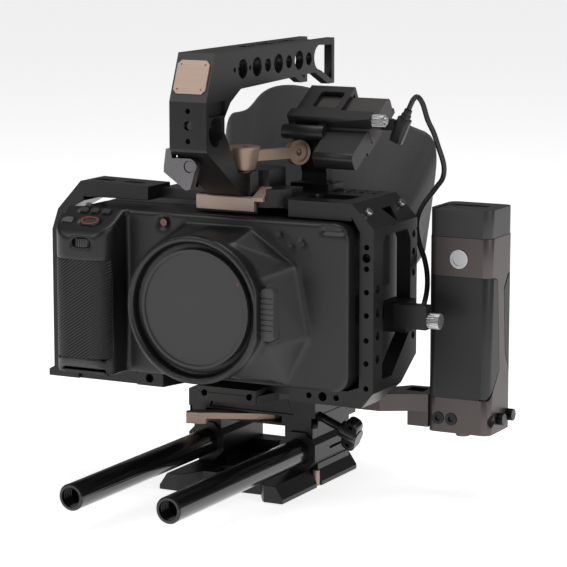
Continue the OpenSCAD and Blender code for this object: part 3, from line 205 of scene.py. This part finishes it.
def finish(material, edge, *names):
    """Gives nodes their finish, and breaks their edges by edge metres where it isn't 0."""
    for name in names:
        node = NODES[name]
        node.data.materials.clear()
        node.data.materials.append(material)
        if edge:
            edge_break(node, edge)


black_anodised = surface("black_anodised", (0.026, 0.0245, 0.024), 0.33, metal=0.6, vary=0.10,
                         grain=2600, depth=0.00003, specular=0.6)
finish(black_anodised, 0.0004, "cage_top_plate", "cage_right_frame", "cage_left_arm",
       "cage_base", "quick_plate", "quick_base", "dovetail_plate", "cable_clamp")
finish(black_anodised, 0.0005, "handle_body")
tan_anodised = surface("tan_anodised", (0.5, 0.375, 0.305), 0.46, metal=0.55, vary=0.06,
                       grain=1500, depth=0.00002, stretch=(1, 1, 12))
finish(tan_anodised, 0.0003, "cage_badge", "handle_badge", "lock_pin", "quick_lever")
bronze_anodised = surface("bronze_anodised", (0.33, 0.235, 0.18), 0.42, metal=0.6, vary=0.08,
                          grain=1800, depth=0.00003)
finish(bronze_anodised, 0.0004, "handle_lever")
gunmetal = surface("gunmetal", (0.17, 0.165, 0.17), 0.3, metal=0.9, vary=0.12, grain=1500)
finish(gunmetal, 0.0004, "handle_clamp")
titanium_grey = surface("titanium_grey", (0.1, 0.085, 0.082), 0.38, metal=0.7, vary=0.07,
                        grain=2400, depth=0.00003)
finish(titanium_grey, 0.0004, "side_grip_body", "grip_bracket")
polished_steel = surface("polished_steel", (0.52, 0.52, 0.53), 0.34, metal=1.0, vary=0.04,
                         grain=1200, depth=0.000002)
finish(polished_steel, 0.00015, "cage_screws", "drive_thumb_screw", "clamp_thumb_screw",
       "run_button")
black_steel = surface("black_steel", (0.03, 0.03, 0.031), 0.32, metal=0.9, vary=0.1, grain=1500)
finish(black_steel, 0.00015, "grip_knob_front", "grip_knob_rear", "grip_screws")
rod_black = surface("rod_black", (0.006, 0.006, 0.0065), 0.2, metal=0.35, vary=0.1, grain=1800,
                    depth=0.00001, coat=0.5)
finish(rod_black, 0, "rod_left", "rod_right")
moulded_black = surface("moulded_black", (0.012, 0.012, 0.012), 0.4, vary=0.15, grain=1600,
                        depth=0.00004)
finish(moulded_black, 0.0004, "drive_holder", "drive_plug", "camera_plug", "hood_frame")
drive_metal = surface("drive_metal", (0.075, 0.067, 0.065), 0.42, metal=0.4, vary=0.06,
                      grain=2200, depth=0.00002)
finish(drive_metal, 0, "solid_state_drive")
waist_rubber = surface("waist_rubber", (0.013, 0.013, 0.0135), 0.46, vary=0.12, grain=2000,
                       depth=0.00003)
finish(waist_rubber, 0.0003, "side_grip_rubber", "port_door")
grip_cap = surface("grip_cap_plastic", (0.032, 0.03, 0.03), 0.42, vary=0.1, grain=2000)
finish(grip_cap, 0.0006, "grip_top_cap")
knob_gloss = surface("knob_gloss", (0.008, 0.008, 0.008), 0.22, vary=0.1, grain=900,
                     depth=0.00001, coat=0.4)
finish(knob_gloss, 0.0006, "wing_knob")
cap_plastic = surface("cap_plastic", (0.042, 0.042, 0.042), 0.5, vary=0.05, grain=1500,
                      depth=0.00005)
finish(cap_plastic, 0.0005, "body_cap")
button_plastic = surface("button_plastic", (0.05, 0.05, 0.052), 0.4, vary=0.08, grain=1600)
finish(button_plastic, 0.0003, "iso_button", "shutter_button", "white_balance_button",
       "control_dial", "lens_release_button", "menu_button", "play_button")
satin_silver = surface("satin_silver", (0.2, 0.2, 0.205), 0.4, metal=0.7, vary=0.04, grain=1500)
finish(satin_silver, 0.0003, "still_button", "power_switch", "lens_mount_ring")
finish(button_plastic, 0.0003, "record_button")
tally_red = surface("tally_red", (0.2, 0.012, 0.02), 0.15, vary=0.1, grain=500, coat=0.6)
finish(tally_red, 0.0002, "tally_lens")
screen_glass = surface("screen_glass", (0.006, 0.006, 0.008), 0.07, vary=0.1, grain=300,
                       depth=0.000002, coat=0.6)
finish(screen_glass, 0, "touch_screen")
board_green = surface("board_green", (0.02, 0.12, 0.05), 0.45, vary=0.2, grain=1200)
finish(board_green, 0, "main_board")
sensor_glass = surface("sensor_glass", (0.05, 0.08, 0.12), 0.1, vary=0.2, grain=400, coat=0.5)
finish(sensor_glass, 0, "image_sensor")
cell_wrap = surface("cell_wrap", (0.03, 0.03, 0.06), 0.3, vary=0.1, grain=700)
finish(cell_wrap, 0, "camera_battery", "grip_battery", "cooling_fan")


# ---- Camera shells ----
# Two satin black composite mouldings with soft edges meet behind the grip. The front one
# carries the faceted hump of the lens mount and the hand grip with its sloping deck.
shell_plastic = surface("shell_plastic", (0.009, 0.009, 0.0102), 0.38, vary=0.06, grain=1900,
                        depth=0.00005, specular=0.55)


def moulded_copy(node, name, voxel, rounds, material, body="camera"):
    """A copy of a frame node as one soft moulding: its points are merged, it is remeshed in
    even cells, and each point moves towards the mean of its neighbours a few times."""
    source = NODES[node]
    mesh = source.data.copy()
    obj = bpy.data.objects.new(name, mesh)
    scene.collection.objects.link(obj)
    for kind, settings in (("WELD", {"merge_threshold": 0.000004}),
                           ("REMESH", {"mode": "VOXEL", "voxel_size": voxel}),
                           ("SMOOTH", {"factor": 0.5, "iterations": rounds})):
        modifier = obj.modifiers.new(kind.lower(), kind)
        for key, value in settings.items():
            setattr(modifier, key, value)
    depsgraph = bpy.context.evaluated_depsgraph_get()
    done = bpy.data.meshes.new_from_object(obj.evaluated_get(depsgraph))
    obj.modifiers.clear()
    obj.data = done
    bpy.data.meshes.remove(mesh)
    done.name = name
    done.materials.clear()
    done.materials.append(material)
    done.shade_smooth()
    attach(obj, body)
    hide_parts(node)
    return obj


moulded_copy("camera_front_shell", "camera_front_moulding", 0.0012, 5,
             shell_plastic)
moulded_copy("camera_rear_shell", "camera_rear_moulding", 0.0016, 5,
             shell_plastic)
finish(shell_plastic, 0.0004, "battery_door")


# ---- Record ring and index dot ----
# A thin red ring is printed round the record button's dish, and a red dot on the body cap
# shows where the cap lines up with the mount.
DECK_TILT, DECK_Y, DECK_Z = 33, -45, 158.5


def ring_on_deck(across, along, raised, half_long, half_short, thick, count=72):
    """A closed oval hoop on the sloping deck: an ellipse of the two half sizes, swept by a
    circle of radius thick. All are in millimetres, along the deck's own axes."""
    tilt = math.radians(DECK_TILT)
    u = np.linspace(0, 2*np.pi, count, endpoint=False)
    v = np.linspace(0, 2*np.pi, 8, endpoint=False)
    out = np.stack([half_short*np.cos(u), half_long*np.sin(u)], 1)
    out /= np.linalg.norm(out, axis=1)[:, None]
    x = across + half_long*np.cos(u)[:, None] + thick*out[:, :1]*np.cos(v)[None]
    d = along + half_short*np.sin(u)[:, None] + thick*out[:, 1:]*np.cos(v)[None]
    h = raised + thick*np.broadcast_to(np.sin(v)[None], x.shape)
    y = DECK_Y + d*math.cos(tilt) - h*math.sin(tilt)
    z = DECK_Z + d*math.sin(tilt) + h*math.cos(tilt)
    verts = np.stack([x, y, z], -1).reshape(-1, 3)*MM
    faces = [(i*8 + k, (i + 1) % count*8 + k, (i + 1) % count*8 + (k + 1) % 8,
              i*8 + (k + 1) % 8) for i in range(count) for k in range(8)]
    return verts, faces


signal_red = surface("signal_red", (0.55, 0.045, 0.035), 0.4, vary=0.05, grain=900,
                     depth=0.00001)
ring_verts, ring_faces = ring_on_deck(-75.5, -5.5, 1.0, 5.1, 2.8, 0.28)
shown_mesh("record_ring", ring_verts, ring_faces, signal_red, "record")


def disc_facing_front(x, y, z, radius, depth, count=40):
    """A round disc facing -Y: two circles depth apart and their caps, in millimetres."""
    turn = np.linspace(0, 2*np.pi, count, endpoint=False)
    front = np.stack([x + radius*np.cos(turn), np.full(count, y), z + radius*np.sin(turn)], 1)
    rear = front + (0, depth, 0)
    sides = [(k, k + count, (k + 1) % count + count, (k + 1) % count) for k in range(count)]
    return (np.vstack([front, rear])*MM,
            sides + [list(range(count)), list(range(count, 2*count))[::-1]])


# The dot's place across and up the cap, in millimetres.
CAP_DOT = (27.5, 129.4)
dot_verts, dot_faces = disc_facing_front(CAP_DOT[0], -63.35, CAP_DOT[1], 1.1, 0.35)
shown_mesh("cap_index_dot", dot_verts, dot_faces, signal_red, "cap", smooth=False)


# ---- Grip rubber ----
# A thin black rubber skin, moulded with fine slanting ribs, lies in the grip's recess.
RIB_PITCH_MM = 1.5
RIB_SLANT = 33
rib_rubber, rib_tree, rib_shader = new_material("grip_rib_rubber")
rib_shader.inputs["Base Color"].default_value = (0.014, 0.014, 0.014, 1)
rib_place = rib_tree.nodes.new("ShaderNodeTexCoord")
rib_turn = rib_tree.nodes.new("ShaderNodeMapping")
rib_turn.inputs["Rotation"].default_value = (0, math.radians(RIB_SLANT), 0)
rib_wave = rib_tree.nodes.new("ShaderNodeTexWave")
rib_wave.wave_type = "BANDS"
rib_wave.bands_direction = "Z"
rib_wave.wave_profile = "SIN"
rib_wave.inputs["Scale"].default_value = 1000/(RIB_PITCH_MM*20)*2*math.pi
rib_tree.links.new(rib_place.outputs["Object"], rib_turn.inputs["Vector"])
rib_tree.links.new(rib_turn.outputs["Vector"], rib_wave.inputs["Vector"])
rib_tree.links.new(ramp(rib_tree, rib_wave.outputs["Fac"], 0.62, 0.4, 0.2, 0.8),
                   rib_shader.inputs["Roughness"])
bumped(rib_tree, rib_shader, rib_wave.outputs["Fac"], 0.9, 0.0005)
bumped(rib_tree, rib_shader, object_noise(rib_tree, 2500), 0.3, 0.00004)
finish(rib_rubber, 0.0003, "grip_rubber")


# ---- Screen hood ----
# Four padded panels in dark grey leatherette, sewn into one open funnel, fixed to the
# screen's frame. The free rim is rounded, and the panels sag a little between their edges.
hood_leather = surface("hood_leatherette", (0.033, 0.032, 0.032), 0.55, vary=0.10, grain=700,
                       depth=0.0002, strength=0.35, sheen=0.15)


def even_outline(corners, count, rounds=3):
    """A closed outline with its corners cut round (each cut keeps a quarter and three
    quarters of every side), resampled at count equal steps from its lowest left corner."""
    p = np.asarray(corners, float)
    for _ in range(rounds):
        following = np.roll(p, -1, axis=0)
        p = np.stack([0.75*p + 0.25*following, 0.25*p + 0.75*following], 1).reshape(-1, 2)
    p = np.roll(p, -int(np.argmin(p[:, 0] + p[:, 1])), axis=0)
    p = np.vstack([p, p[:1]])
    along = np.concatenate([[0], np.cumsum(np.linalg.norm(np.diff(p, axis=0), axis=1))])
    even = np.linspace(0, along[-1], count, endpoint=False)
    return np.stack([np.interp(even, along, p[:, k]) for k in range(2)], 1)


HOOD_NEAR = [(-54, 76), (70, 76), (70, 161), (-54, 161)]
HOOD_FAR = [(-60, 100), (63.5, 100), (74, 174), (74.5, 190), (70, 199), (60, 202), (30, 212),
            (-9, 223.5), (-28, 224.5), (-42, 220), (-51, 209), (-56, 206.5), (-66, 205),
            (-69, 185)]
hood_y0, hood_y1 = 43.3, 98.0
hood_around, hood_along = 260, 44
HOOD_PADDING = 2.4
near_line = even_outline(HOOD_NEAR, hood_around, 4)
far_line = even_outline(HOOD_FAR, hood_around, 2)


def hood_surface(inset, depth_share):
    """One skin of the hood: straight blending from the frame's outline to the rim's, moved
    inward by inset, with a shallow sag between the ends and soft wrinkles across."""
    w = depth_share[:, None, None]
    line = (1 - w)*near_line[None] + w*far_line[None]
    centre = line.mean(axis=1, keepdims=True)
    tangent = np.roll(line, -1, axis=1) - np.roll(line, 1, axis=1)
    normal = np.stack([tangent[..., 1], -tangent[..., 0]], -1)
    normal /= np.linalg.norm(normal, axis=-1, keepdims=True)
    turn = np.arange(hood_around)[None, :, None]/hood_around*2*np.pi
    sag = 1.5*np.sin(np.pi*w)*(0.6 + 0.4*np.sin(7*turn + 0.5))
    wrinkle = 0.35*np.sin(23*turn + 5*w)*np.sin(np.pi*w)**2*(0.5 + 0.5*np.sin(3*turn + 1))
    line = line - normal*(inset + sag + wrinkle)
    y = hood_y0 + (hood_y1 - hood_y0)*np.broadcast_to(w, line.shape[:2] + (1,))
    return np.concatenate([line[..., :1], y, line[..., 1:]], -1)


share = np.linspace(0, 1, hood_along)
outer = hood_surface(0.0, share)
inner = hood_surface(HOOD_PADDING, share)[::-1]
rim = np.stack([0.75*outer[-1] + 0.25*inner[0], 0.25*outer[-1] + 0.75*inner[0]])
hood_rings = np.concatenate([outer, rim, inner])*MM
ring_count = len(hood_rings)
i, k = np.meshgrid(np.arange(ring_count), np.arange(hood_around), indexing="ij")
hood_quads = np.stack([i*hood_around + k, ((i + 1) % ring_count)*hood_around + k,
                       ((i + 1) % ring_count)*hood_around + (k + 1) % hood_around,
                       i*hood_around + (k + 1) % hood_around], -1).reshape(-1, 4)
hood = shown_mesh("screen_hood_fabric", hood_rings.reshape(-1, 3),
                  [list(map(int, q)) for q in hood_quads[:, ::-1]], hood_leather, "camera")
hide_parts("sun_hood")


# ---- Floor, light and surroundings ----
# A pale floor that fades into a white room, with large soft lamps over and beside the rig.
floor_material, floor_tree, floor_shader = new_material("studio_floor")
floor_shader.inputs["Base Color"].default_value = (0.9, 0.9, 0.9, 1)
floor_shader.inputs["Roughness"].default_value = 0.9
floor_shader.inputs["Emission Color"].default_value = (1, 1, 1, 1)
floor_shader.inputs["Emission Strength"].default_value = 0.74
floor_mesh = bpy.data.meshes.new("studio_floor")
floor_mesh.from_pydata([(-6, -6, 0), (6, -6, 0), (6, 6, 0), (-6, 6, 0)], [], [(0, 1, 2, 3)])
floor_mesh.materials.append(floor_material)
floor = bpy.data.objects.new("studio_floor", floor_mesh)
scene.collection.objects.link(floor)
floor.location = (0, 0, -0.0005)


def soft_lamp(name, place, target, size, power):
    """A square area lamp at a place, turned to face the target."""
    data = bpy.data.lights.new(name, "AREA")
    data.shape = "SQUARE"
    data.size = size
    data.energy = power
    lamp = bpy.data.objects.new(name, data)
    scene.collection.objects.link(lamp)
    back = (np.asarray(place, float) - np.asarray(target, float))
    back /= np.linalg.norm(back)
    side = np.cross((0, 0, 1), back)
    side /= np.linalg.norm(side)
    up = np.cross(back, side)
    turned = Matrix([[side[r], up[r], back[r], place[r]] for r in range(3)] + [[0, 0, 0, 1]])
    lamp.matrix_world = turned


soft_lamp("key_lamp", (-0.9, -1.5, 1.5), (0, 0, 0.12), 1.0, 8.5)
soft_lamp("right_lamp", (1.6, -0.5, 0.9), (0, 0, 0.12), 1.0, 7)
soft_lamp("top_lamp", (0.1, 0.25, 1.7), (0, 0, 0.12), 1.2, 10)
# The room looks white, but lights the rig with only a part of that.
ROOM_LIGHT = 0.13
world = bpy.data.worlds.new("studio_world")
scene.world = world
world.use_nodes = True
world.node_tree.nodes["Background"].inputs["Color"].default_value = (1, 1, 1, 1)
light_path = world.node_tree.nodes.new("ShaderNodeLightPath")
dimmer = world.node_tree.nodes.new("ShaderNodeMath")
dimmer.operation = "MULTIPLY_ADD"
dimmer.inputs[1].default_value = 1 - ROOM_LIGHT
dimmer.inputs[2].default_value = ROOM_LIGHT
world.node_tree.links.new(light_path.outputs["Is Camera Ray"], dimmer.inputs[0])
world.node_tree.links.new(dimmer.outputs["Value"],
                          world.node_tree.nodes["Background"].inputs["Strength"])
scene.view_settings.view_transform = "Standard"
